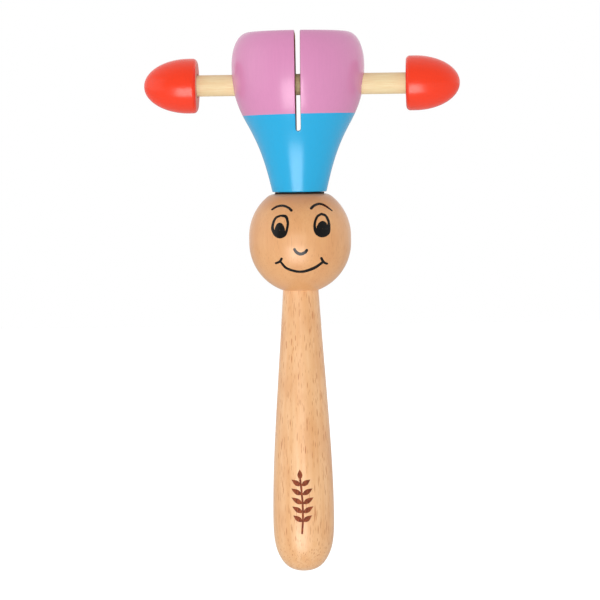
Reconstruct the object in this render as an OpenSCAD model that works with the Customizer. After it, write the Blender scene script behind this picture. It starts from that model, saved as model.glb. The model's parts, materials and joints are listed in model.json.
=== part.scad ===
// Hand clapper toy. A turned handle carries a ball head. A slotted hat whirls on the head, and a
// dowel rod slides through the hat until its round caps knock on the hat's sides.
// Millimetres, +Z up along the handle. The origin is on the handle's axis, where a hand holds it,
// and the face on the head looks along -Y.

/* [Handle] */
// Height of the origin above the handle's butt end
grip_h = 40; // [30:1:60]
// Length of the handle from its butt end to the shoulder under the head
handle_l = 106.2; // [95:0.1:120]
// Largest diameter of the handle
handle_d = 23; // [20:0.1:26]
// Height of the largest diameter above the butt end
belly_h = 20; // [16:0.5:26]
// Diameter of the neck at the shoulder
neck_d = 13.4; // [12:0.1:15]
// Diameter of the tenon glued into the head
tenon_d = 10; // [8:0.5:11]
// Length of that tenon
tenon_l = 15; // [10:0.5:16]

/* [Head] */
// Diameter of the ball head
head_d = 38.4; // [36:0.1:42]
// Height of the short straight band at the ball's middle
head_band = 2.4; // [0:0.1:4]
// Diameter of the flat on top of the head
head_flat_d = 21.6; // [19:0.1:24]

/* [Hat] */
// Height of the hat
hat_h = 60; // [56:0.5:64]
// Largest diameter of the hat
hat_d = 49.9; // [46:0.1:54]
// Height of that diameter above the hat's base
crown_h = 47.5; // [45:0.1:49]
// Diameter of the hat's base
hat_base_d = 20.6; // [19:0.1:23]
// Diameter of the flat on top of the hat
hat_flat_d = 36.6; // [32:0.1:40]
// Turn of the hat about the handle's axis at rest, in degrees
hat_turn = -0.5; // [-45:0.1:45]

/* [Slot] */
// Width of the saw slot at the top of the hat
slot_top_w = 2.1; // [1.6:0.05:3]
// Width of the saw slot at its round bottom
slot_end_w = 1.8; // [1.4:0.05:3]
// Height of the slot's bottom above the hat's base
slot_h = 22.6; // [21:0.1:30]

/* [Rod] */
// Diameter of the dowel rod
rod_d = 8; // [6:0.1:9]
// Height of the rod's axis above the hat's base
rod_h = 40.3; // [38:0.1:42]
// Radial clearance of the rod in the hat
rod_clearance = 0.1; // [0.05:0.01:0.1]
// Turn of the cross bore away from square to the slot, in degrees
bore_turn = -2.8; // [-4:0.1:4]
// Free length of rod between the two caps
rod_free_l = 78.5; // [70:0.5:90]
// Shift of the rod along its axis at rest
rod_shift = 1.3; // [-8:0.1:8]

/* [Caps] */
// Diameter of a cap
cap_d = 20.6; // [18:0.1:23]
// Length of a cap
cap_l = 20.2; // [18:0.1:23]
// Length of its round nose
cap_nose_l = 16.9; // [13:0.1:17]
// Rounding of the rim around its flat face
cap_rim = 1.1; // [0.5:0.1:2]
// Depth of the rod's hole in a cap
cap_hole_l = 11; // [8:0.5:12]

/* [Bearing] */
// Thickness of the friction washer between the head and the hat
washer_t = 0.6; // [0.4:0.05:1]
// Diameter of the friction washer
washer_d = 18.7; // [16:0.1:20]
// Axial play above and below the hat
axial_play = 0.1; // [0.05:0.01:0.2]
// Diameter of the pocket in the hat's underside
pocket_d = 11; // [10:0.1:13]
// Depth of that pocket
pocket_l = 16; // [15:0.5:18]
// Length of the bush glued in the pocket
bush_l = 11; // [9:0.5:12]
// Diameter of the spindle's journal
journal_d = 5; // [4:0.1:5.5]
// Radial clearance of the journal in the bush
journal_clearance = 0.05; // [0.02:0.01:0.1]
// Diameter of the spindle's head
pin_head_d = 8.6; // [7.5:0.1:9]
// Thickness of the spindle's head
pin_head_t = 2.2; // [1.5:0.1:2.6]
// Diameter of the spindle's tail in the head
tail_d = 4.4; // [3.5:0.1:4.8]
// Length of that tail
tail_l = 15; // [10:0.5:16]
// Number of ribs on the tail
ribs = 6; // [3:1:8]

/* [Hidden] */
$fn = 96;

// Points along each Bezier stretch of an outline, and degrees between points of an arc
CURVE_STEPS = 20;
ARC_STEP = 5;

// Handle: angle of its side where the round butt begins, and that place
BUTT_ANGLE = 62;
BUTT_POINT = [9.1, 5.5];

// Slopes of the hat's side, as radius over height, at its base and where its flare is steepest
HAT_BASE_SLOPE = 0.23;
HAT_FLARE_SLOPE = 0.56;
HAT_FLARE_POINT = [19.3, 25.5];
HAT_BASE_ROUND = 0.35;

// Small chamfers, ribs and clearances that the joints share
CHAMFER = 0.6;
RIB_H = 0.2;
RIB_TAPER = 1.2;
THRUST_T = 0.8;
CUT = 1;

// Heights above the butt end
head_r = head_d / 2;
neck_drop = sqrt(pow(head_r, 2) - pow(neck_d / 2, 2));
head_h = handle_l + neck_drop + head_band / 2;
head_top_h = head_h + head_band / 2 + sqrt(pow(head_r, 2) - pow(head_flat_d / 2, 2));
hat_base_h = head_top_h + washer_t + axial_play;

// Point at one distance and angle from the origin
function polar(length, angle) = length * [cos(angle), sin(angle)];

// Cubic Bezier from a to d, without its last point, so that stretches can be joined
function bezier(a, b, c, d) = [
    for (i = [0 : CURVE_STEPS - 1])
        let (t = i / CURVE_STEPS, s = 1 - t)
            pow(s, 3) * a + 3 * s * s * t * b + 3 * s * t * t * c + pow(t, 3) * d
];

// Quarter of an ellipse with its middle at [x, y], from its side to its end
function quarter(x, y, rx, ry) = [
    for (a = [0 : ARC_STEP : 90]) [x + rx * cos(a), y + ry * sin(a)]
];

function handle_outline() =
    let (belly = [handle_d / 2, belly_h], shoulder = [neck_d / 2, handle_l])
        concat(
            bezier([0, 0], [5.2, 0], BUTT_POINT - polar(3.5, BUTT_ANGLE), BUTT_POINT),
            bezier(BUTT_POINT, BUTT_POINT + polar(3.1, BUTT_ANGLE), belly - [0, 8.5], belly),
            bezier(belly, belly + [0, 24.5], shoulder + [2.15, -34.8], shoulder),
            [shoulder, [0, handle_l]]
        );

function hat_outline() =
    let (
        base = [hat_base_d / 2, HAT_BASE_ROUND],
        flare = HAT_FLARE_POINT,
        crown = [hat_d / 2, crown_h],
        brim = [hat_flat_d / 2, hat_h]
    )
        concat(
            [[0, 0], [base[0] - HAT_BASE_ROUND, 0]],
            bezier(base, base + 10 * [HAT_BASE_SLOPE, 1], flare - 8.4 * [HAT_FLARE_SLOPE, 1], flare),
            bezier(flare, flare + 7.5 * [HAT_FLARE_SLOPE, 1], crown - [0, 9.1], crown),
            bezier(crown, crown + [0, 7], brim + [4, 0], brim),
            [brim, [0, hat_h]]
        );

function cap_outline() =
    let (face_r = cap_d / 2 - cap_rim, side_l = cap_l - cap_nose_l)
        concat(
            [[0, 0]],
            [for (a = [0 : 15 : 90]) [face_r + cap_rim * sin(a), cap_rim * (1 - cos(a))]],
            quarter(0, side_l, cap_d / 2, cap_nose_l)
        );

// Puts the handle's parts, drawn from its butt end up, in the toy's frame
module from_butt() translate([0, 0, -grip_h]) children();

// Puts the hat's parts, drawn from its base up, in the toy's frame
module on_hat() from_butt() rotate([0, 0, hat_turn]) translate([0, 0, hat_base_h]) children();

// Lays parts drawn along +Z on the axis of the hat's cross bore
module along_bore() rotate([0, 0, bore_turn]) translate([0, 0, rod_h]) rotate([0, 90, 0])
    children();

// Puts parts drawn along +Z from the rod's middle on the rod's axis
module on_rod() on_hat() along_bore() translate([0, 0, rod_shift]) children();

module turned(outline) rotate_extrude() polygon(outline);

// Round bar along +Z with a chamfer at both ends
module dowel(d, l) {
    cylinder(d1 = d - 2 * CHAMFER, d2 = d, h = CHAMFER);
    translate([0, 0, CHAMFER]) cylinder(d = d, h = l - 2 * CHAMFER);
    translate([0, 0, l - CHAMFER]) cylinder(d1 = d, d2 = d - 2 * CHAMFER, h = CHAMFER);
}

module ring(outer_d, inner_d, t) {
    difference() {
        cylinder(d = outer_d, h = t);
        translate([0, 0, -CUT]) cylinder(d = inner_d, h = t + 2 * CUT);
    }
}

// Turned handle with a domed butt, a swelling grip and a tenon above its shoulder
module handle() {
    color("burlywood") from_butt() union() {
        turned(handle_outline());
        translate([0, 0, handle_l - CUT]) cylinder(d = tenon_d, h = tenon_l + CUT);
    }
}

// Ball with a flat seat for the handle's shoulder and a flat for the washer, bored from both ends
module head() {
    color("wheat") from_butt() difference() {
        intersection() {
            union() {
                for (side = [-1, 1])
                    translate([0, 0, head_h + side * head_band / 2]) sphere(d = head_d);
                translate([0, 0, head_h - head_band / 2]) cylinder(d = head_d, h = head_band);
            }
            translate([0, 0, handle_l]) cylinder(d = 2 * head_d, h = head_top_h - handle_l);
        }
        translate([0, 0, handle_l - CUT]) cylinder(d = tenon_d, h = tenon_l + CUT);
        translate([0, 0, head_top_h - tail_l]) cylinder(d = tail_d, h = tail_l + CUT);
    }
}

// Thin black disc that the hat turns on
module friction_washer() {
    color("black") from_butt() translate([0, 0, head_top_h])
        ring(washer_d, journal_d + 2 * rod_clearance, washer_t);
}

// Headed pin: the journal stands on the head, and the ribbed tail bites into it
module spindle() {
    journal_l = washer_t + axial_play + bush_l + THRUST_T + axial_play;
    color("silver") from_butt() translate([0, 0, head_top_h]) union() {
        cylinder(d = journal_d, h = journal_l);
        translate([0, 0, journal_l]) cylinder(d = pin_head_d, h = pin_head_t - CHAMFER);
        translate([0, 0, journal_l + pin_head_t - CHAMFER])
            cylinder(d1 = pin_head_d, d2 = pin_head_d - 2 * CHAMFER, h = CHAMFER);
        translate([0, 0, -tail_l]) cylinder(d1 = tail_d - 2 * CHAMFER, d2 = tail_d, h = CHAMFER);
        translate([0, 0, CHAMFER - tail_l]) cylinder(d = tail_d, h = tail_l - CHAMFER);
        for (i = [1 : ribs])
            translate([0, 0, -i * tail_l / (ribs + 1)])
                cylinder(d1 = tail_d, d2 = tail_d + 2 * RIB_H, h = RIB_TAPER);
    }
}

// Washer between the bush and the spindle's head
module thrust_washer() {
    color("silver") on_hat() translate([0, 0, bush_l])
        ring(pin_head_d, journal_d + 2 * rod_clearance, THRUST_T);
}

// Bush glued into the hat's pocket, running on the spindle's journal
module hat_bush() {
    color("tan") on_hat() ring(pocket_d, journal_d + 2 * journal_clearance, bush_l);
}

// Saw slot across the hat, at right angles to the rod, with a round bottom
module slot() {
    end_r = slot_end_w / 2;
    rotate([90, 0, 0]) linear_extrude(height = 2 * hat_d, center = true) union() {
        translate([0, slot_h + end_r]) circle(r = end_r);
        polygon([
            [-end_r, slot_h + end_r],
            [end_r, slot_h + end_r],
            [slot_top_w / 2, hat_h + CUT],
            [-slot_top_w / 2, hat_h + CUT]
        ]);
    }
}

// Turned hat with its slot, its cross bore for the rod and the pocket for its bush
module hat() {
    color("deepskyblue") on_hat() difference() {
        turned(hat_outline());
        slot();
        along_bore() cylinder(d = rod_d + 2 * rod_clearance, h = 2 * hat_d, center = true);
        translate([0, 0, -CUT]) cylinder(d = pocket_d, h = pocket_l + CUT);
    }
}

// Dowel rod, its ends glued in the caps
module rod() {
    rod_l = rod_free_l + 2 * cap_hole_l;
    color("moccasin") on_rod() translate([0, 0, -rod_l / 2]) dowel(rod_d, rod_l);
}

// Round-nosed cap with its flat face towards the hat: side is 1 on the right and -1 on the left
module cap(side) {
    color("tomato") on_rod() rotate([0, 90 - 90 * side, 0]) translate([0, 0, rod_free_l / 2])
        difference() {
            turned(cap_outline());
            translate([0, 0, -CUT]) cylinder(d = rod_d, h = cap_hole_l + CUT);
            translate([0, 0, -CUT])
                cylinder(d1 = rod_d + 2 * (CHAMFER + CUT), d2 = rod_d, h = CHAMFER + CUT);
        }
}

module cap_left() cap(-1);

module cap_right() cap(1);

handle();
head();
friction_washer();
spindle();
thrust_washer();
hat_bush();
hat();
rod();
cap_left();
cap_right();
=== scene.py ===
"""Looks of the hand clapper toy: turned beech, gloss paint, a drawn face and a burnt leaf sprig, in a
white studio.

Lengths are in millimetres in the row frame, +Z up the handle and -Y out of the face, and turn into
metres where a mesh is made. Lights and the camera are in metres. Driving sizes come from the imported
frame, and the rest repeat the part's own.
"""

import json
import math

import bmesh
import bpy
import numpy as np
from mathutils import Matrix, Quaternion, Vector


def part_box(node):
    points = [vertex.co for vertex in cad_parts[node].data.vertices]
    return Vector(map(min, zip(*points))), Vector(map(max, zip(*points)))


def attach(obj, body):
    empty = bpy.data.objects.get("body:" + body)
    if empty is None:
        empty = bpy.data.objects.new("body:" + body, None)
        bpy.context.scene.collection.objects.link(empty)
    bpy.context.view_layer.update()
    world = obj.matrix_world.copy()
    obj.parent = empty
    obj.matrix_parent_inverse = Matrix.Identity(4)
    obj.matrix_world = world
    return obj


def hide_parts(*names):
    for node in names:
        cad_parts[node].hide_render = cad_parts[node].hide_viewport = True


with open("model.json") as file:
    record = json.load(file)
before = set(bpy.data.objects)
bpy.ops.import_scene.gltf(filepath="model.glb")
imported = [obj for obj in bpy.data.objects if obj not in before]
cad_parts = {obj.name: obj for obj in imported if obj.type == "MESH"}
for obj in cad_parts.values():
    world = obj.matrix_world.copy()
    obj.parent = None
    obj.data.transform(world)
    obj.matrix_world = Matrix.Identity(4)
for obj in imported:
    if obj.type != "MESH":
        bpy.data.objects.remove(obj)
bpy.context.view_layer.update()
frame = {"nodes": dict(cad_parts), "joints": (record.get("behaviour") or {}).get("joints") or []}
M = 0.001  # one millimetre in metres


# ---------------------------------------------------------------- sizes from the frame

def box_mm(node):
    """Lowest and highest corner of a CAD node, in millimetres."""
    low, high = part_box(node)
    return low / M, high / M


def joint(name):
    return next(j for j in frame["joints"] if j["name"] == name)


HANDLE_LOW, HANDLE_HIGH = box_mm("handle")
HEAD_LOW, HEAD_HIGH = box_mm("head")
WASHER_LOW, WASHER_HIGH = box_mm("friction_washer")
HAT_LOW, HAT_HIGH = box_mm("hat")
ROD_LOW, ROD_HIGH = box_mm("rod")
BUSH_LOW, BUSH_HIGH = box_mm("hat_bush")
SPINDLE_LOW, _ = box_mm("spindle")

BUTT_Z = HANDLE_LOW.z
SHOULDER_Z = HEAD_LOW.z
HANDLE_R = (HANDLE_HIGH.x - HANDLE_LOW.x) / 2
TENON_TOP_Z = HANDLE_HIGH.z
TENON_R = 5.0
NECK_R = 6.7

HEAD_R = (HEAD_HIGH.x - HEAD_LOW.x) / 2
HEAD_BAND = 2.4
HEAD_TOP_Z = HEAD_HIGH.z
HEAD_FLAT_R = 10.8
HEAD_Z = SHOULDER_Z + math.sqrt(HEAD_R**2 - NECK_R**2) + HEAD_BAND / 2

WASHER_R = (WASHER_HIGH.x - WASHER_LOW.x) / 2
JOURNAL_R = 2.6

HAT_Z = HAT_LOW.z
HAT_H = HAT_HIGH.z - HAT_LOW.z
HAT_R = (HAT_HIGH.x - HAT_LOW.x) / 2
HAT_BASE_R = 10.3
HAT_FLAT_R = 18.3
HAT_CROWN_H = 47.5
PAINT_LINE_H = 29.1
PAINT_LINE_TILT = 0.0145  # rise of the masked line towards +X
POCKET_R = (BUSH_HIGH.x - BUSH_LOW.x) / 2
POCKET_H = 16.0
SLOT_H = 22.6
SLOT_END_R = 0.9
SLOT_TOP_R = 1.05

ROD_DIR = Vector(joint("clapper_slide")["axis"]).normalized()
ROD_MIDDLE = (ROD_LOW + ROD_HIGH) / 2
ROD_R = 4.0
ROD_CHAMFER = 0.6
ROD_END_WIDTH = 2 * (ROD_R - ROD_CHAMFER) * math.sqrt(1 - ROD_DIR.x**2)
ROD_L = (ROD_HIGH.x - ROD_LOW.x - ROD_END_WIDTH) / ROD_DIR.x
BORE_R = ROD_R + 0.1
CAP_HOLE_L = 11.0
CAP_R = 10.3
CAP_L = 20.2
CAP_NOSE_L = 16.9
CAP_RIM = 1.6  # a little softer than the part's own, as paint makes it
HAT_TURN = math.radians(-0.5)


# ---------------------------------------------------------------- curves and meshes

def bezier(a, b, c, d, n):
    """Cubic Bezier from a to d, n points without the last."""
    t = np.linspace(0, 1, n, endpoint=False)[:, None]
    a, b, c, d = (np.array(p, float) for p in (a, b, c, d))
    return (1 - t) ** 3 * a + 3 * (1 - t) ** 2 * t * b + 3 * (1 - t) * t**2 * c + t**3 * d


def arc(centre, radius, start, end, n):
    """Points on a circle from start to end, in degrees, both included."""
    t = np.radians(np.linspace(start, end, n))
    return np.array(centre) + radius * np.column_stack([np.cos(t), np.sin(t)])


def polar(length, degrees):
    return length * np.array([math.cos(math.radians(degrees)), math.sin(math.radians(degrees))])


def resampled(points, n):
    """The same line through n points at equal steps of its length."""
    points = np.asarray(points, float)
    steps = np.hypot(*np.diff(points, axis=0).T)
    along = np.concatenate([[0], np.cumsum(steps)])
    at = np.linspace(0, along[-1], n)
    return np.column_stack([np.interp(at, along, points[:, i]) for i in (0, 1)])


def new_object(name, verts, faces, materials, face_materials=None, sharp_degrees=35):
    """A mesh object from points in millimetres, smooth but for edges over sharp_degrees."""
    mesh = bpy.data.meshes.new(name)
    mesh.from_pydata([Vector(v) * M for v in verts], [], faces)
    for m in materials:
        mesh.materials.append(m)
    if face_materials is not None:
        mesh.polygons.foreach_set("material_index", face_materials)
    obj = bpy.data.objects.new(name, mesh)
    bpy.context.scene.collection.objects.link(obj)
    tidy(obj, sharp_degrees)
    return obj


def tidy(obj, sharp_degrees=35):
    """Merges double points, points faces outwards and sets the smooth shading."""
    bm = bmesh.new()
    bm.from_mesh(obj.data)
    bmesh.ops.remove_doubles(bm, verts=bm.verts, dist=0.0005 * M)
    bmesh.ops.dissolve_degenerate(bm, edges=bm.edges, dist=0.0002 * M)
    bmesh.ops.recalc_face_normals(bm, faces=bm.faces)
    bm.to_mesh(obj.data)
    bm.free()
    obj.data.shade_smooth()
    obj.data.set_sharp_from_angle(angle=math.radians(sharp_degrees))


def lathe(name, outline, materials, place=Matrix.Identity(4), segments=192, kind=lambda r, z: 0):
    """A turned solid from an outline of (radius, height) that starts and ends on the axis or closes on
    itself. kind(r, z) gives the material of the faces whose middle is there."""
    outline = np.asarray(outline, float)
    closed = outline[0][0] > 0
    rows = len(outline)
    angles = np.linspace(0, 2 * math.pi, segments, endpoint=False)
    verts = [
        place @ Vector((r * math.cos(a), r * math.sin(a), z)) for r, z in outline for a in angles
    ]
    faces, kinds = [], []
    for i in range(rows if closed else rows - 1):
        j = (i + 1) % rows
        middle = (outline[i] + outline[j]) / 2
        for k in range(segments):
            m = (k + 1) % segments
            faces.append([i * segments + k, i * segments + m, j * segments + m, j * segments + k])
            kinds.append(kind(*middle))
    return new_object(name, verts, faces, materials, kinds)


def cut(obj, cutter):
    """Takes cutter out of obj, exactly, and removes the cutter."""
    modifier = obj.modifiers.new("cut", "BOOLEAN")
    modifier.object = cutter
    modifier.operation = "DIFFERENCE"
    modifier.solver = "EXACT"
    modifier.material_mode = "INDEX"
    depsgraph = bpy.context.evaluated_depsgraph_get()
    mesh = bpy.data.meshes.new_from_object(obj.evaluated_get(depsgraph))
    obj.modifiers.clear()
    obj.data = mesh
    bpy.data.objects.remove(cutter)


# ---------------------------------------------------------------- outlines of the turned pieces

def handle_side():
    """The handle from the middle of its butt to its shoulder, as (radius, height above the butt)."""
    length = SHOULDER_Z - BUTT_Z
    butt, butt_angle = np.array([9.1, 5.5]), 62
    belly, shoulder = np.array([HANDLE_R, 20.0]), np.array([NECK_R, length])
    return np.vstack([
        bezier([0, 0], [5.2, 0], butt - polar(3.5, butt_angle), butt, 24),
        bezier(butt, butt + polar(3.1, butt_angle), belly - [0, 8.5], belly, 24),
        bezier(belly, belly + [0, 24.5], shoulder + [2.15, -34.8], shoulder, 60),
        [shoulder],
    ])


def head_radius(z):
    """Radius of the ball at a height in the row frame."""
    beyond = np.maximum(np.abs(z - HEAD_Z) - HEAD_BAND / 2, 0)
    return np.sqrt(np.maximum(HEAD_R**2 - beyond**2, 0))


def hat_side(n=160):
    """The hat's side from its base's rounding to the edge of its flat top, as (radius, height)."""
    r = 0.45
    base = arc([HAT_BASE_R - r, r], r, -90, -13, 7)
    flare, flare_slope = np.array([19.3, 25.5]), np.array([0.56, 1])
    crown, brim = np.array([HAT_R, HAT_CROWN_H]), np.array([HAT_FLAT_R, HAT_H])
    low = base[-1]
    side = np.vstack([
        bezier(low, low + 10 * np.array([0.23, 1]), flare - 8.4 * flare_slope, flare, 200),
        bezier(flare, flare + 7.5 * flare_slope, crown - [0, 9.1], crown, 200),
        bezier(crown, crown + [0, 7], brim + [4, 0], brim, 200),
        [brim],
    ])
    return base[:-1], resampled(side, n)


# ---------------------------------------------------------------- the hat's mesh

SLOT_ROUND = 0.35  # rounding of the sawn edges
SLOT_COLUMNS = 12  # columns of faces across the slot's strip, below its bottom
SIDE_COLUMNS = 90  # columns of faces around each half
ROUND_STEPS = 4  # rows of faces over a sawn edge's rounding
PAINTED_STEPS = 2  # of which these are painted, and the rest, turning into the slot, get a dark brown painted shade
FLAT_RINGS = 14  # rings over the flat top
MORPH_RINGS = 8  # rings that bend from level to the slot's round bottom
MORPH_H = 1.5  # height below the slot in which they do


def slot_half(z):
    """Half the slot's width at a height above the hat's base."""
    middle = SLOT_H + SLOT_END_R
    t = (z - middle) / (HAT_H - middle)
    return SLOT_END_R + max(t, 0) * (SLOT_TOP_R - SLOT_END_R)


class HatMesh:
    """The hat as one closed surface: an outer skin with a hole where the saw came through, rounded
    edges around it, two flat walls and a round floor."""

    def __init__(self):
        self.verts, self.faces, self.kinds = [], [], []
        base, side = hat_side()
        self.radii, self.heights = side[:, 0], side[:, 1]
        middle = SLOT_H + SLOT_END_R
        gap = SLOT_END_R + SLOT_ROUND
        start = middle - gap - MORPH_H
        low = side[side[:, 1] < start]
        high = side[side[:, 1] > middle + 0.1]
        flat_radii = np.linspace(HAT_FLAT_R, SLOT_TOP_R + SLOT_ROUND, FLAT_RINGS)[1:]
        flat = [[r, HAT_H] for r in flat_radii]
        pocket = [[0, POCKET_H], [POCKET_R, POCKET_H], [POCKET_R, 0]]
        rows = [self.ring(r, z, gap) for r, z in np.vstack([pocket, base, low])]
        for t in np.linspace(0, 1, MORPH_RINGS):
            rows.append(self.morph(start, middle, gap, t))
        wood = [1, 1] + [0] * (len(rows) - 3)
        for lower, upper, kind in zip(rows, rows[1:], wood):
            self.strip(lower, upper, kind)
        self.halves(rows[-1], np.vstack([high, flat]), gap, middle)

    def vert(self, x, y, z):
        self.verts.append((x, y, z))
        return len(self.verts) - 1

    def radius(self, z):
        return float(np.interp(z, self.heights, self.radii))

    def normal(self, r, z):
        """Outward normal of the hat's skin in a plane through its axis, as (radial, up)."""
        if z > HAT_H - 1e-6:
            return 0.0, 1.0
        step = 0.02
        slope = (self.radius(z + step) - self.radius(z - step)) / (2 * step)
        length = math.hypot(1, slope)
        return 1 / length, -slope / length

    def columns(self, r, gap):
        """Places around a ring of radius r: across the front strip, round the right half, across the
        back strip, round the left half. Each is (x, y) and the strip's angle or None."""
        gap = min(gap, r) if r else 0
        out = []
        tilt = math.asin(gap / r) if r else 0
        for side in (-1, 1):
            for k in range(SLOT_COLUMNS):
                psi = math.pi * (k / SLOT_COLUMNS - 0.5)
                x = -side * gap * math.sin(psi)
                out.append((x, side * math.sqrt(max(r * r - x * x, 0)), psi))
            for k in range(SIDE_COLUMNS):
                a = tilt + (math.pi - 2 * tilt) * k / SIDE_COLUMNS - math.pi / 2
                out.append((-side * r * math.cos(a), -side * r * math.sin(a), None))
        return out

    def ring(self, r, z, gap):
        return [self.vert(x, y, z) for x, y, _ in self.columns(r, gap)]

    def morph(self, start, middle, gap, t):
        """A ring that rises from a level line to the round bottom of the slot."""
        ids = []
        level = start + t * (middle - start)
        for x, y, psi in self.columns(self.radius(level), gap):
            if psi is None:
                ids.append(self.vert(x, y, level))
                continue
            top = middle - math.sqrt(max(gap * gap - x * x, 0))
            z = start + t * (top - start)
            r = self.radius(z)
            ids.append(self.vert(x, math.copysign(math.sqrt(r * r - x * x), y), z))
        return ids

    def strip(self, lower, upper, kind):
        n = len(lower)
        for k in range(n):
            m = (k + 1) % n
            self.face([lower[k], lower[m], upper[m], upper[k]], kind)

    def face(self, ids, kind):
        self.faces.append(ids)
        self.kinds.append(kind)

    def halves(self, ring, rows, gap, middle):
        """Both halves above the slot's bottom, from the last ring that goes all the way round."""
        n = SLOT_COLUMNS + SIDE_COLUMNS
        edges = {}
        for side, first in ((-1, SLOT_COLUMNS), (1, n + SLOT_COLUMNS)):
            lower = [ring[(first + k) % (2 * n)] for k in range(SIDE_COLUMNS + 1)]
            edges[side, 0], edges[side, 1] = [lower[0]], [lower[-1]]
            for r, z in rows:
                half = slot_half(z) + SLOT_ROUND
                tilt = math.asin(min(half / r, 1))
                angles = [
                    tilt + (math.pi - 2 * tilt) * k / SIDE_COLUMNS - math.pi / 2
                    for k in range(SIDE_COLUMNS + 1)
                ]
                upper = [
                    self.vert(-side * r * math.cos(a), -side * r * math.sin(a), z) for a in angles
                ]
                for k in range(SIDE_COLUMNS):
                    self.face([lower[k], lower[k + 1], upper[k + 1], upper[k]], 0)
                edges[side, 0].append(upper[0])
                edges[side, 1].append(upper[-1])
                lower = upper
        arcs = {
            side: [ring[(first + k) % (2 * n)] for k in range(SLOT_COLUMNS + 1)]
            for side, first in ((-1, 0), (1, n))
        }
        self.slot_walls(edges, arcs, middle)

    def rounded(self, edge_ids, outward):
        """Rows of points from an edge of the skin, over its rounding, to the slot's wall. outward(id)
        gives the unit direction in the XZ plane from the slot into the wood at that edge."""
        rows = [edge_ids]
        for k in range(1, ROUND_STEPS + 1):
            phi = math.radians(90 * k / ROUND_STEPS)
            aside = SLOT_ROUND * math.sin(phi)
            deep = SLOT_ROUND * (1 - math.cos(phi))
            row = []
            for i in edge_ids:
                x, y, z = self.verts[i]
                ox, oz = outward(i)
                up_r, up_z = self.normal(math.hypot(x, y), z)
                ny = math.copysign(up_r, y) if abs(y) > 1e-6 else 0
                row.append(self.vert(x - aside * ox, y - deep * ny, z - aside * oz - deep * up_z))
            rows.append(row)
        for step, (lower, upper) in enumerate(zip(rows, rows[1:])):
            for k in range(len(edge_ids) - 1):
                # the inner rows, facing into the slot, take the dark painted shade
                kind = 0 if step < PAINTED_STEPS else 2
                self.face([lower[k], lower[k + 1], upper[k + 1], upper[k]], kind)
        return rows[-1]

    def slot_walls(self, edges, arcs, middle):
        """The rounding along the slot's edges, its two walls and its floor."""
        walls = {}
        for (side, end), ids in edges.items():
            walls[side, end] = self.rounded(ids, lambda i, s=side: (-s, 0))

        def from_slot_end(i):
            x, _, z = self.verts[i]
            length = math.hypot(x, z - middle)
            return x / length, (z - middle) / length

        floors = [self.rounded(arcs[side], from_slot_end) for side in (-1, 1)]
        for k in range(SLOT_COLUMNS):
            back = SLOT_COLUMNS - k
            self.face([floors[0][k], floors[0][k + 1], floors[1][back - 1], floors[1][back]], 1)
        for side in (-1, 1):
            self.face(walls[side, 0] + walls[side, 1][-2::-1], 1)


# ---------------------------------------------------------------- material graphs

def rgb(red, green, blue):
    """Linear colour of an sRGB colour given in 0 to 255."""
    def linear(c):
        c /= 255
        return c / 12.92 if c <= 0.04045 else ((c + 0.055) / 1.055) ** 2.4
    return (linear(red), linear(green), linear(blue), 1)


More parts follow.
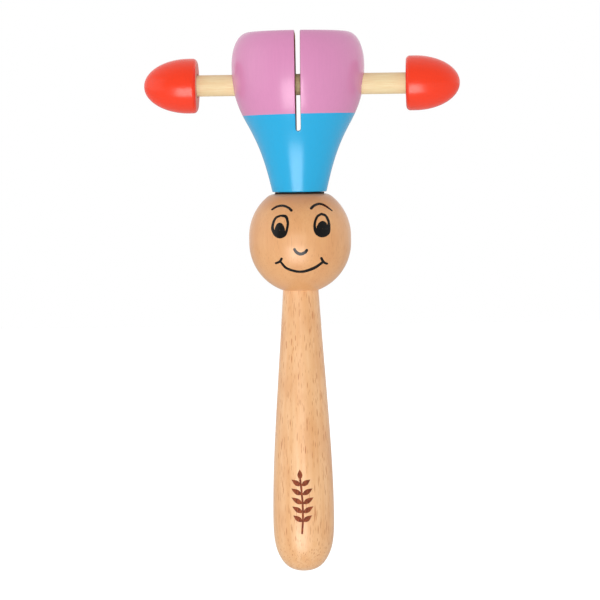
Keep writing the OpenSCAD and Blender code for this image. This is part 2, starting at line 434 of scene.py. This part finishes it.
class Graph:
    """A material's nodes, with short calls for the usual ones. Coordinates are millimetres."""

    def __init__(self, name, **shader):
        self.material = bpy.data.materials.new(name)
        self.material.use_nodes = True
        self.tree = self.material.node_tree
        self.tree.nodes.clear()
        self.shader = self.add("ShaderNodeBsdfPrincipled", **shader)
        output = self.add("ShaderNodeOutputMaterial")
        self.tree.links.new(self.shader.outputs[0], output.inputs["Surface"])
        coordinates = self.add("ShaderNodeTexCoord")
        scale = self.add("ShaderNodeVectorMath", operation="SCALE")
        self.tree.links.new(coordinates.outputs["Object"], scale.inputs[0])
        scale.inputs["Scale"].default_value = 1 / M
        self.place = scale.outputs[0]

    def add(self, kind, **settings):
        node = self.tree.nodes.new(kind)
        sockets = {s.name.replace(" ", "_").lower(): s for s in reversed(node.inputs)}
        for name, value in settings.items():
            if name in sockets:
                sockets[name].default_value = value
            else:
                setattr(node, name, value)
        return node

    def set(self, socket, value):
        if isinstance(value, bpy.types.NodeSocket):
            self.tree.links.new(value, socket)
        else:
            socket.default_value = value

    def stretch(self, x, y, z, where=None):
        """Coordinates divided by a feature's size along each axis."""
        node = self.add("ShaderNodeVectorMath", operation="DIVIDE")
        self.set(node.inputs[0], where or self.place)
        self.set(node.inputs[1], (x, y, z))
        return node.outputs[0]

    def noise(self, where, detail=3.0, roughness=0.5, distortion=0.0):
        node = self.add(
            "ShaderNodeTexNoise", scale=1.0, detail=detail, roughness=roughness, distortion=distortion)
        self.set(node.inputs["Vector"], where)
        return node.outputs["Fac"]

    def cells(self, where):
        """Distance to the middle of a random cell, and that cell's random colour."""
        node = self.add("ShaderNodeTexVoronoi", scale=1.0, randomness=1.0)
        self.set(node.inputs["Vector"], where)
        return node.outputs["Distance"], node.outputs["Color"]

    def ramp(self, value, low, high, to_low=0.0, to_high=1.0):
        """Smooth step of value between low and high."""
        node = self.add("ShaderNodeMapRange", interpolation_type="SMOOTHSTEP")
        for key, v in (
            ("Value", value), ("From Min", low), ("From Max", high),
            ("To Min", to_low), ("To Max", to_high)
        ):
            self.set(node.inputs[key], v)
        return node.outputs[0]

    def math(self, operation, a, b=0.0):
        node = self.add("ShaderNodeMath", operation=operation)
        self.set(node.inputs[0], a)
        self.set(node.inputs[1], b)
        return node.outputs[0]

    def mix(self, factor, a, b, blend="MIX"):
        node = self.add("ShaderNodeMix", data_type="RGBA", blend_type=blend)
        self.set(node.inputs[0], factor)
        self.set(node.inputs[6], a)
        self.set(node.inputs[7], b)
        return node.outputs[2]

    def split(self, where=None):
        node = self.add("ShaderNodeSeparateXYZ")
        self.set(node.inputs[0], where or self.place)
        return node.outputs

    def bump(self, height, distance, strength=1.0):
        node = self.add("ShaderNodeBump", strength=strength)
        self.set(node.inputs["Distance"], distance * M)
        self.set(node.inputs["Height"], height)
        self.set(self.shader.inputs["Normal"], node.outputs[0])

    def colour(self, value):
        self.set(self.shader.inputs["Base Color"], value)

    def rough(self, value):
        self.set(self.shader.inputs["Roughness"], value)


# Cell size in millimetres, least and greatest reach of a fleck in its cell, and strength
FLECK_CELLS = (((0.62, 0.62, 8.5), 0.13, 0.24, 0.9), ((0.52, 0.52, 5.5), 0.12, 0.24, 0.7))
# Height over which the head's top darkens, a painted shade under the hat
HAT_SHADE_H = 7.5


def turned_wood(name, pale, mid, deep, fleck, flecks=1.0, blotches=0.5, bands=1.0, crown=None):
    """Satin beech: soft bands along the grain, blotches, and short dark ray flecks. Above the height
    crown it darkens towards the top, a painted shade for the hat's shadow on the head."""
    g = Graph(name, coat_weight=0.35, coat_roughness=0.25)
    band = g.noise(g.stretch(1.8, 1.8, 70), detail=4.0, roughness=0.55, distortion=0.3)
    cloud = g.noise(g.stretch(9, 9, 16), detail=3.0)
    base = g.mix(g.ramp(band, 0.3, 0.72, 0.0, bands), pale, mid)
    base = g.mix(g.ramp(cloud, 0.4, 0.72, 0.0, blotches), base, deep)
    fine = g.noise(g.stretch(0.25, 0.25, 7), detail=3.0, roughness=0.6)
    base = g.mix(g.ramp(fine, 0.45, 0.8, 0.0, 0.3), base, deep)
    if crown is not None:
        # painted shade: darker towards the top of the head, where the hat shades it
        painted_hat_shade = g.ramp(g.split()[2], crown, crown + HAT_SHADE_H, 0.0, 0.75)
        base = g.mix(painted_hat_shade, base, deep)
    marks = None
    for cell, narrow, wide, weight in FLECK_CELLS:
        distance, random = g.cells(g.stretch(*cell))
        size, shade, _ = g.split(random)
        reach = g.ramp(size, 0.0, 1.0, narrow, wide)
        mark = g.ramp(g.math("SUBTRACT", distance, reach), -0.05, 0.07, 1.0, 0.0)
        mark = g.math("MULTIPLY", mark, g.ramp(shade, 0.0, 1.0, 0.45 * weight, weight))
        marks = mark if marks is None else g.math("MAXIMUM", marks, mark)
    marks = g.math("MULTIPLY", marks, flecks)
    g.colour(g.mix(marks, base, fleck))
    g.rough(g.ramp(fine, 0.3, 0.8, 0.34, 0.46))
    g.bump(g.math("SUBTRACT", fine, g.math("MULTIPLY", marks, 0.6)), 0.01, 0.3)
    return g.material


def gloss_paint(name, lower, upper=None, line=0.0, tilt=0.0):
    """Sprayed lacquer over wood, with a masked line where there are two colours."""
    g = Graph(name)
    grain = g.noise(g.stretch(0.6, 0.6, 16), detail=2.0)
    peel = g.noise(g.stretch(2.6, 2.6, 2.6), detail=1.0)
    paint = lower
    if upper is not None:
        x, _, z = g.split()
        height = g.math("SUBTRACT", z, g.math("MULTIPLY", x, tilt))
        height = g.math("ADD", height, g.math("MULTIPLY", peel, 0.12))
        paint = g.mix(g.ramp(height, line - 0.05, line + 0.05), lower, upper)
    g.colour(g.mix(g.ramp(grain, 0.35, 0.75, 0.0, 0.025), paint, (0.02, 0.01, 0.02, 1)))
    g.rough(g.ramp(grain, 0.3, 0.8, 0.2, 0.27))
    g.bump(peel, 0.008, 0.4)
    return g.material


def raw_wood(name, light, dark, along):
    """Bare wood with fine lines along one axis, 0 to 2."""
    g = Graph(name, specular_ior_level=0.3)
    size = [0.35, 0.35, 0.35]
    size[along] = 22
    lines = g.noise(g.stretch(*size), detail=4.0, roughness=0.6)
    cloud = g.noise(g.stretch(5, 5, 5), detail=2.0)
    base = g.mix(g.ramp(lines, 0.35, 0.7), light, dark)
    g.colour(g.mix(g.ramp(cloud, 0.35, 0.75, 0.0, 0.35), base, dark))
    g.rough(g.ramp(lines, 0.3, 0.8, 0.5, 0.68))
    g.bump(lines, 0.03, 0.4)
    return g.material


def black_ink(name):
    """Printed line: black, a little uneven, with a soft sheen."""
    g = Graph(name, specular_ior_level=0.35)
    cloud = g.noise(g.stretch(1.2, 1.2, 1.2), detail=3.0)
    g.colour(g.mix(g.ramp(cloud, 0.3, 0.8), rgb(3, 2, 2), rgb(12, 8, 6)))
    g.rough(g.ramp(cloud, 0.3, 0.8, 0.16, 0.24))
    return g.material


def burnt(name):
    """Wood darkened by a hot die, redder where it was burnt less."""
    g = Graph(name, specular_ior_level=0.2)
    cloud = g.noise(g.stretch(0.5, 0.5, 1.6), detail=3.0)
    g.colour(g.mix(g.ramp(cloud, 0.35, 0.7), rgb(112, 48, 26), rgb(166, 84, 52)))
    g.rough(g.ramp(cloud, 0.3, 0.8, 0.6, 0.8))
    g.bump(cloud, 0.03, 0.5)
    return g.material


def rubber(name):
    g = Graph(name)
    cloud = g.noise(g.stretch(0.8, 0.8, 0.8), detail=4.0)
    g.colour(g.mix(g.ramp(cloud, 0.3, 0.8), rgb(16, 15, 18), rgb(34, 33, 36)))
    g.rough(g.ramp(cloud, 0.3, 0.8, 0.55, 0.75))
    g.bump(cloud, 0.02, 0.4)
    return g.material


def steel(name):
    """Plain turned steel with fine rings."""
    g = Graph(name, metallic=1.0)
    rings = g.noise(g.stretch(3, 3, 0.08), detail=3.0)
    g.colour(g.mix(rings, rgb(150, 150, 152), rgb(205, 204, 202)))
    g.rough(g.ramp(rings, 0.3, 0.7, 0.22, 0.4))
    g.bump(rings, 0.01, 0.3)
    return g.material


PINK = rgb(225, 147, 192)
BLUE = rgb(30, 178, 232)
RED = rgb(255, 60, 22)

beech = turned_wood(
    "beech", rgb(248, 198, 146), rgb(240, 182, 124), rgb(224, 156, 98), rgb(186, 92, 16))
# The head's wood darkens towards its top, a painted shade under the hat
beech_head = turned_wood(
    "beech_head", rgb(236, 177, 120), rgb(230, 165, 105), rgb(216, 142, 86), rgb(176, 96, 40),
    flecks=0.35, blotches=0.3, bands=0.5, crown=HEAD_TOP_Z - HAT_SHADE_H)
hat_paint = gloss_paint("hat_paint", BLUE, PINK, HAT_Z + PAINT_LINE_H, PAINT_LINE_TILT)
sawn_wood = raw_wood("sawn_wood", rgb(222, 172, 128), rgb(188, 136, 96), 2)
# Dark brown painted shade where the sawn edges' rounding turns into the slot
slot_edge_shade = raw_wood("scorched_edge", rgb(120, 84, 66), rgb(84, 54, 42), 2)
red_paint = gloss_paint("red_paint", RED)
thin_red = raw_wood("thinly_painted_wood", rgb(246, 190, 172), rgb(214, 96, 72), 2)
# Dark brown painted shade for the countersink round the rod, where the gap lies in shade
countersink_shade = raw_wood("glue_stained_wood", rgb(150, 62, 34), rgb(104, 40, 24), 2)
birch = raw_wood("birch", rgb(250, 233, 186), rgb(243, 217, 164), 0)
bush_wood = raw_wood("bush_wood", rgb(214, 160, 108), rgb(180, 124, 80), 2)
ink = black_ink("printed_ink")
burnt_wood = burnt("burnt_wood")
black_rubber = rubber("black_rubber")
pin_steel = steel("pin_steel")


# ---------------------------------------------------------------- handle, head and washer

def piece(obj, body, slot, *nodes):
    """Says which body a piece rides on and hides the CAD nodes that it stands for. slot is not used.
    """
    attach(obj, body)
    if nodes:
        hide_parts(*nodes)
    return obj


side = handle_side()
HANDLE_OUTLINE = np.vstack([
    side,
    [[TENON_R, SHOULDER_Z - BUTT_Z], [TENON_R, TENON_TOP_Z - BUTT_Z], [0, TENON_TOP_Z - BUTT_Z]],
]) + [0, BUTT_Z]
handle = lathe("turned_handle", HANDLE_OUTLINE, [beech])
piece(handle, "handle_body", "beech", "handle")


def handle_radius(z):
    line = side + [0, BUTT_Z]
    return np.interp(z, line[:, 1], line[:, 0])


# Angles on the ball's two arcs where the handle and the flat top cut them off
seat = math.degrees(math.asin((HEAD_Z - HEAD_BAND / 2 - SHOULDER_Z) / HEAD_R))
crown = math.degrees(math.asin((HEAD_TOP_Z - HEAD_Z - HEAD_BAND / 2) / HEAD_R))
TAIL_R = 2.2
CROWN_SOFT = 5  # degrees of the ball that its softened top edge takes up
crown_edge = np.array([HEAD_FLAT_R, HEAD_TOP_Z])
crown_end = crown_edge - [1.5, 0]
crown_arc = arc([0, HEAD_Z + HEAD_BAND / 2], HEAD_R, 0, crown - CROWN_SOFT, 60)
crown_pull = (crown_arc[-1] + 2 * crown_edge) / 3
HEAD_OUTLINE = np.vstack([
    [[0, TENON_TOP_Z], [TENON_R, TENON_TOP_Z], [TENON_R, SHOULDER_Z]],
    arc([0, HEAD_Z - HEAD_BAND / 2], HEAD_R, -seat, 0, 60),
    crown_arc[:-1],
    bezier(crown_arc[-1], crown_pull, crown_edge - [0.5, 0], crown_end, 10),
    [crown_end, [TAIL_R, HEAD_TOP_Z], [TAIL_R, SPINDLE_LOW.z], [0, SPINDLE_LOW.z]],
])
head = lathe("ball_head", HEAD_OUTLINE, [beech_head], segments=224)
piece(head, "handle_body", "beech_pale", "head")

t = WASHER_HIGH.z - WASHER_LOW.z
WASHER_OUTLINE = np.vstack([
    [[JOURNAL_R, WASHER_LOW.z], [WASHER_R - t / 2, WASHER_LOW.z]],
    arc([WASHER_R - t / 2, WASHER_LOW.z + t / 2], t / 2, -75, 75, 7),
    [[WASHER_R - t / 2, WASHER_HIGH.z], [JOURNAL_R, WASHER_HIGH.z]],
])
washer = lathe("friction_disc", WASHER_OUTLINE, [black_rubber])
piece(washer, "handle_body", "black_rubber", "friction_washer")

for node, material in (("spindle", pin_steel), ("thrust_washer", pin_steel), ("hat_bush", bush_wood)):
    slots = frame["nodes"][node].data.materials
    slots.clear()
    slots.append(material)


# ---------------------------------------------------------------- hat, rod and caps

def along_rod(x):
    """Places a piece drawn along +Z on the rod's axis, with its zero x millimetres from the middle."""
    turn = ROD_DIR.to_track_quat("Z", "Y").to_matrix().to_4x4()
    return Matrix.Translation(ROD_MIDDLE + x * ROD_DIR) @ turn


hat_mesh = HatMesh()
hat_place = Matrix.Translation((0, 0, HAT_Z)) @ Matrix.Rotation(HAT_TURN, 4, "Z")
hat = new_object(
    "slotted_hat", [hat_place @ Vector(v) for v in hat_mesh.verts], hat_mesh.faces,
    [hat_paint, sawn_wood, slot_edge_shade], hat_mesh.kinds)
BORE_REACH = 40  # half the cutter's length, past both sides of the hat
bore = lathe(
    "bore",
    [[0, -BORE_REACH], [BORE_R, -BORE_REACH], [BORE_R, BORE_REACH], [0, BORE_REACH]],
    [hat_paint, sawn_wood], along_rod(0), 96, lambda r, z: 1)
cut(hat, bore)
tidy(hat)
piece(hat, "hat_body", "hat_paint", "hat")

rod = lathe(
    "dowel_rod",
    [[0, 0], [ROD_R - ROD_CHAMFER, 0], [ROD_R, ROD_CHAMFER], [ROD_R, ROD_L - ROD_CHAMFER],
     [ROD_R - ROD_CHAMFER, ROD_L], [0, ROD_L]],
    [birch], along_rod(-ROD_L / 2), 96)
piece(rod, "clapper", "birch", "rod")

face_r, side_l = CAP_R - CAP_RIM, CAP_L - CAP_NOSE_L
nose = arc([0, 0], 1, 0, 90, 48) * [CAP_R, CAP_NOSE_L] + [0, side_l]
SINK = 0.6  # small countersink at the mouth of a cap's hole
CAP_OUTLINE = np.vstack([
    [[0, CAP_HOLE_L], [ROD_R, CAP_HOLE_L], [ROD_R, SINK], [ROD_R + SINK, 0]],
    arc([face_r, CAP_RIM], CAP_RIM, -90, 0, 10),
    nose,
])


def cap_kind(r, z):
    """Gloss outside, thin paint on the flat face, and a dark painted shade in the countersink where
    the rod goes in.
    """
    # painted shade: the countersink faces round the rod
    if r < ROD_R + 0.9 * SINK and z < CAP_HOLE_L + 1:
        return 2
    return 1 if z < 0.05 else 0


for name, sign in (("cap_left", -1), ("cap_right", 1)):
    flip = Matrix.Rotation(math.pi if sign < 0 else 0, 4, "Y")
    cap = lathe(
        f"round_{name}", CAP_OUTLINE, [red_paint, thin_red, countersink_shade],
        along_rod(sign * (ROD_L / 2 - CAP_HOLE_L)) @ flip, 160, cap_kind)
    piece(cap, "clapper", "red_paint", name)


# ---------------------------------------------------------------- face and burnt leaf

PROUD = 0.03  # height of the ink over the wood
SUNK = 0.03  # depth of its underside, inside the wood


def on_surface(radius_at, x, z, proud):
    """Point over the front of a turned surface at x and z, moved out along its normal."""
    r = float(radius_at(z))
    slope = (float(radius_at(z + 0.05)) - float(radius_at(z - 0.05))) / 0.1
    y = -math.sqrt(max(r * r - x * x, 0.01))
    normal = Vector((x / r, y / r, -slope)).normalized()
    return Vector((x, y, z)) + proud * normal


def printed(name, rows, radius_at, material, body, slot):
    """A closed thin skin on the front of a turned surface, from rows of (x, z) points."""
    verts, faces = [], []
    n, m = len(rows), len(rows[0])
    for proud in (PROUD, -SUNK):
        verts += [on_surface(radius_at, x, z, proud) for row in rows for x, z in row]

    def index(layer, i, j):
        return layer * n * m + i * m + j

    for i in range(n - 1):
        for j in range(m - 1):
            corners = [(i, j), (i + 1, j), (i + 1, j + 1), (i, j + 1)]
            faces.append([index(0, *c) for c in corners])
            faces.append([index(1, *c) for c in reversed(corners)])
    rim = [(i, 0) for i in range(n)] + [(n - 1, j) for j in range(1, m)]
    rim += [(i, m - 1) for i in range(n - 2, -1, -1)] + [(0, j) for j in range(m - 2, 0, -1)]
    for a, b in zip(rim, rim[1:] + rim[:1]):
        faces.append([index(0, *a), index(0, *b), index(1, *b), index(1, *a)])
    obj = new_object(name, verts, faces, [material])
    return piece(obj, body, slot)


def smooth_line(points, n):
    """n points on a Catmull-Rom curve through points, whose columns may hold a width too."""
    p = np.array(points, float)
    p = np.vstack([2 * p[0] - p[1], p, 2 * p[-1] - p[-2]])
    out = []
    for u in np.linspace(0, len(points) - 1, n):
        i = min(int(u), len(points) - 2)
        t = u - i
        a, b, c, d = p[i:i + 4]
        out.append(0.5 * (2 * b + (c - a) * t + (2 * a - 5 * b + 4 * c - d) * t**2
                          + (3 * b - a - 3 * c + d) * t**3))
    return np.array(out)


def stroke(points, n=40, across=4, closed=False):
    """Rows of (x, z) points for a brush line through (x, z, width), with round ends unless closed."""
    line = smooth_line(points, n)
    if closed:
        line[-1] = line[0]
    direction = np.gradient(line[:, :2], axis=0)
    if closed:
        direction[0] = direction[-1] = direction[0] + direction[-1]
    direction /= np.linalg.norm(direction, axis=1)[:, None]
    normal = np.column_stack([-direction[:, 1], direction[:, 0]])
    width = line[:, 2].copy()
    if not closed:
        steps = np.hypot(*np.diff(line[:, :2], axis=0).T)
        along = np.concatenate([[0], np.cumsum(steps)])
        for distance in (along, along[-1] - along):
            near = np.clip(distance / (width / 2), 0, 1)
            width = width * np.maximum(np.sqrt(1 - (1 - near) ** 2), 0.12)
    half = width[:, None] / 2
    return [
        [tuple(p) for p in line[:, :2] + half * normal * s]
        for s in np.linspace(-1, 1, across + 1)
    ]


def disc(cx, cz, rx, rz, pinch=0.0, n=48, rings=6):
    """Rows of (x, z) points for a filled oval, narrower at its top by pinch."""
    rows = []
    for k in range(rings + 1):
        s = max(k / rings, 0.02)
        row = []
        for a in np.linspace(0, 2 * math.pi, n):
            narrow = 1 - pinch * math.sin(a)
            row.append((cx + s * rx * math.cos(a) * narrow, cz + s * rz * math.sin(a)))
        rows.append(row)
    return rows


FACE_X = 0.45  # the face is printed a little right of the middle


def face_line(name, points, **options):
    lifted = [(x + FACE_X, HEAD_Z + z, w) for x, z, w in points]
    return printed(name, stroke(lifted, **options), head_radius, ink, "handle_body", "ink")


def face_spot(name, cx, cz, rx, rz, pinch):
    rows = disc(cx + FACE_X, HEAD_Z + cz, rx, rz, pinch)
    return printed(name, rows, head_radius, ink, "handle_body", "ink")


face_line("brow_left", [(-11.1, 11.2, 0.6), (-8.9, 12.5, 0.8), (-6.6, 12.8, 0.85),
                        (-4.6, 12.0, 0.9), (-3.2, 10.7, 1.05)])
face_line("brow_right", [(3.4, 11.4, 1.1), (5.1, 12.8, 0.95), (7.1, 13.3, 0.85),
                         (9.3, 12.4, 0.7), (11.8, 10.5, 0.45)])
face_line("eye_left", [(-7.7, 9.15, 0.75), (-9.4, 8.3, 0.85), (-10.4, 6.3, 0.95), (-10.6, 4.2, 1.1),
                       (-9.6, 2.1, 1.15), (-7.8, 1.3, 1.15), (-6.0, 2.2, 1.0), (-5.2, 4.5, 0.9),
                       (-4.95, 6.7, 0.95), (-5.7, 8.8, 1.1), (-7.7, 9.15, 0.75)],
          n=90, closed=True)
face_line("eye_right", [(7.5, 9.6, 0.9), (6.0, 8.6, 0.9), (5.1, 6.4, 0.95), (5.1, 4.0, 1.1),
                        (6.0, 2.2, 1.15), (7.9, 1.5, 1.15), (9.9, 2.4, 1.15), (10.4, 4.6, 1.0),
                        (10.1, 7.0, 0.95), (9.1, 8.9, 0.9), (7.5, 9.6, 0.9)],
          n=90, closed=True)
face_spot("pupil_left", -7.95, 3.75, 1.95, 2.85, 0.12)
face_spot("pupil_right", 7.95, 4.05, 2.35, 2.95, 0.1)
face_line("nose", [(-2.85, -2.9, 1.0), (-1.9, -4.4, 1.15), (-0.35, -5.1, 1.2),
                   (1.3, -4.5, 1.15), (2.25, -3.3, 1.0)])
face_line("mouth", [(-8.1, -7.6, 0.8), (-5.4, -10.5, 0.9), (-0.4, -11.75, 0.95),
                    (4.4, -10.5, 1.1), (8.0, -8.2, 0.9)], n=56)
face_line("mouth_end_left", [(-7.2, -6.4, 0.95), (-8.2, -7.9, 0.9), (-10.0, -8.6, 0.8)])
face_line("mouth_end_right", [(7.1, -6.4, 0.95), (8.2, -8.3, 0.95), (9.8, -9.1, 0.75)])


def leaf(base, tip, width, n=24):
    """Rows of (x, z) points for a pointed leaf from base to tip."""
    base, tip = np.array(base), np.array(tip)
    along = tip - base
    across = np.array([-along[1], along[0]]) / np.linalg.norm(along)
    rows = []
    for s in np.linspace(-1, 1, 7):
        row = []
        for t in np.linspace(0, 1, n):
            half = width / 2 * max(math.sin(math.pi * t**0.8), 0.03)
            row.append(tuple(base + along * t + across * s * half))
        rows.append(row)
    return rows


SPRIG_TOP = HANDLE_LOW.z + 36.0
SPRIG_L = 21.0
SPRIG_X = -1.2
SPRIG_PAIRS = 5


def sprig_part(name, rows):
    return printed(name, rows, handle_radius, burnt_wood, "handle_body", "burnt_mark")


def stem_point(t):
    return np.array([SPRIG_X + 0.9 * math.sin(2.6 * t), SPRIG_TOP - SPRIG_L * t])


stem = [(*stem_point(t), 0.75) for t in np.linspace(0, 1, 9)]
sprig_part("sprig_stem", stroke(stem, n=60))
for k in range(SPRIG_PAIRS):
    t = 0.14 + 0.8 * k / SPRIG_PAIRS
    reach = 3.0 + 0.9 * math.sin(math.pi * (k + 0.5) / SPRIG_PAIRS)
    for side_name, sign in (("left", -1), ("right", 1)):
        foot = stem_point(t) + [sign * 0.2, 0.2]
        rows = leaf(foot, foot + [sign * reach, 2.3], 1.9)
        sprig_part(f"sprig_leaf_{side_name}_{k + 1}", rows)
sprig_part("sprig_leaf_top", leaf(stem_point(0) - [0, 0.3], stem_point(0) + [-0.1, 3.4], 1.9))


# ---------------------------------------------------------------- studio

def aimed(obj, at):
    obj.rotation_euler = (Vector(at) - obj.location).to_track_quat("-Z", "Y").to_euler()


def softbox(name, azimuth, elevation, distance, width, height, watts, shine=True, diffuse=True):
    """A rectangular light that looks at the toy's middle, in metres and watts. Azimuth 0 is in front,
    positive to the right. shine and diffuse say which reflections of it are seen."""
    light = bpy.data.lights.new(name, "AREA")
    light.shape = "RECTANGLE"
    light.size, light.size_y = width, height
    light.energy = watts
    obj = bpy.data.objects.new(name, light)
    bpy.context.scene.collection.objects.link(obj)
    a, e = math.radians(azimuth), math.radians(elevation)
    way = Vector((math.sin(a) * math.cos(e), -math.cos(a) * math.cos(e), math.sin(e)))
    obj.location = LOOK_AT + distance * way
    aimed(obj, LOOK_AT)
    obj.visible_camera = False
    obj.visible_glossy, obj.visible_diffuse = shine, diffuse
    return obj


LOOK_AT = Vector((-0.00035, 0, 0.06241))
CAMERA_DISTANCE = 1.131
CAMERA_ELEVATION = math.radians(2.54)
CAMERA_ROLL = math.radians(0.75)
FLOOR_DROP = 1.5  # below the toy, which is held in the air

# Each: azimuth, elevation, distance, width, height, watts. The shine only makes highlights, and the
# key and the front light only make the even light.
softbox("shine", -9.5, -23, 0.9, 0.64, 0.58, 5.8, diffuse=False)
softbox("key", -14, -22, 1.2, 1.0, 1.0, 2.2, shine=False)
softbox("front", -0.5, -4, 1.3, 0.1, 0.6, 6.0, shine=False)
softbox("side", -75, 10, 1.1, 0.9, 0.9, 1.2)


def for_camera(tree, seen, otherwise):
    """Socket whose value is seen for rays from the camera and otherwise for the rest."""
    rays = tree.nodes.new("ShaderNodeLightPath")
    pick = tree.nodes.new("ShaderNodeMix")
    tree.links.new(rays.outputs["Is Camera Ray"], pick.inputs[0])
    pick.inputs[3].default_value = seen
    if isinstance(otherwise, float):
        pick.inputs[2].default_value = otherwise
    else:
        tree.links.new(otherwise, pick.inputs[2])
    return pick.outputs[0]


world = bpy.data.worlds.new("studio")
bpy.context.scene.world = world
world.use_nodes = True
tree = world.node_tree
direction = tree.nodes.new("ShaderNodeTexCoord")
parts = tree.nodes.new("ShaderNodeSeparateXYZ")
depth = tree.nodes.new("ShaderNodeMapRange")
depth.interpolation_type = "SMOOTHSTEP"
tree.links.new(direction.outputs["Generated"], parts.inputs[0])
tree.links.new(parts.outputs["Y"], depth.inputs["Value"])
for key, value in (("From Min", -0.75), ("From Max", 0.35), ("To Min", 0.42), ("To Max", 0.95)):
    depth.inputs[key].default_value = value
background = tree.nodes["Background"]
background.inputs["Color"].default_value = (1, 1, 1, 1)
tree.links.new(for_camera(tree, 1.0, depth.outputs[0]), background.inputs["Strength"])

floor_graph = Graph("pale_floor")
floor_graph.colour((0.45, 0.45, 0.45, 1))
floor_graph.rough(0.9)
floor_graph.shader.inputs["Emission Color"].default_value = (1, 1, 1, 1)
glow = for_camera(floor_graph.tree, 0.8, 0.25)
floor_graph.tree.links.new(glow, floor_graph.shader.inputs["Emission Strength"])
FLOOR_HALF = 30.0
floor_z = (BUTT_Z * M - FLOOR_DROP) / M
corner = FLOOR_HALF / M
floor = new_object(
    "floor", [(-corner, -corner, floor_z), (corner, -corner, floor_z),
              (corner, corner, floor_z), (-corner, corner, floor_z)],
    [[0, 1, 2, 3]], [floor_graph.material])

camera_data = bpy.data.cameras.new("camera")
camera_data.lens = 180
camera_data.sensor_width = 36
camera_data.clip_start, camera_data.clip_end = 0.05, 100
camera = bpy.data.objects.new("camera", camera_data)
bpy.context.scene.collection.objects.link(camera)
back = Vector((0, -math.cos(CAMERA_ELEVATION), math.sin(CAMERA_ELEVATION)))
camera.location = LOOK_AT + CAMERA_DISTANCE * back
facing = (LOOK_AT - camera.location).to_track_quat("-Z", "Y")
camera.rotation_euler = (facing @ Quaternion((0, 0, 1), -CAMERA_ROLL)).to_euler()
bpy.context.scene.camera = camera
bpy.context.scene.view_settings.view_transform = "Standard"
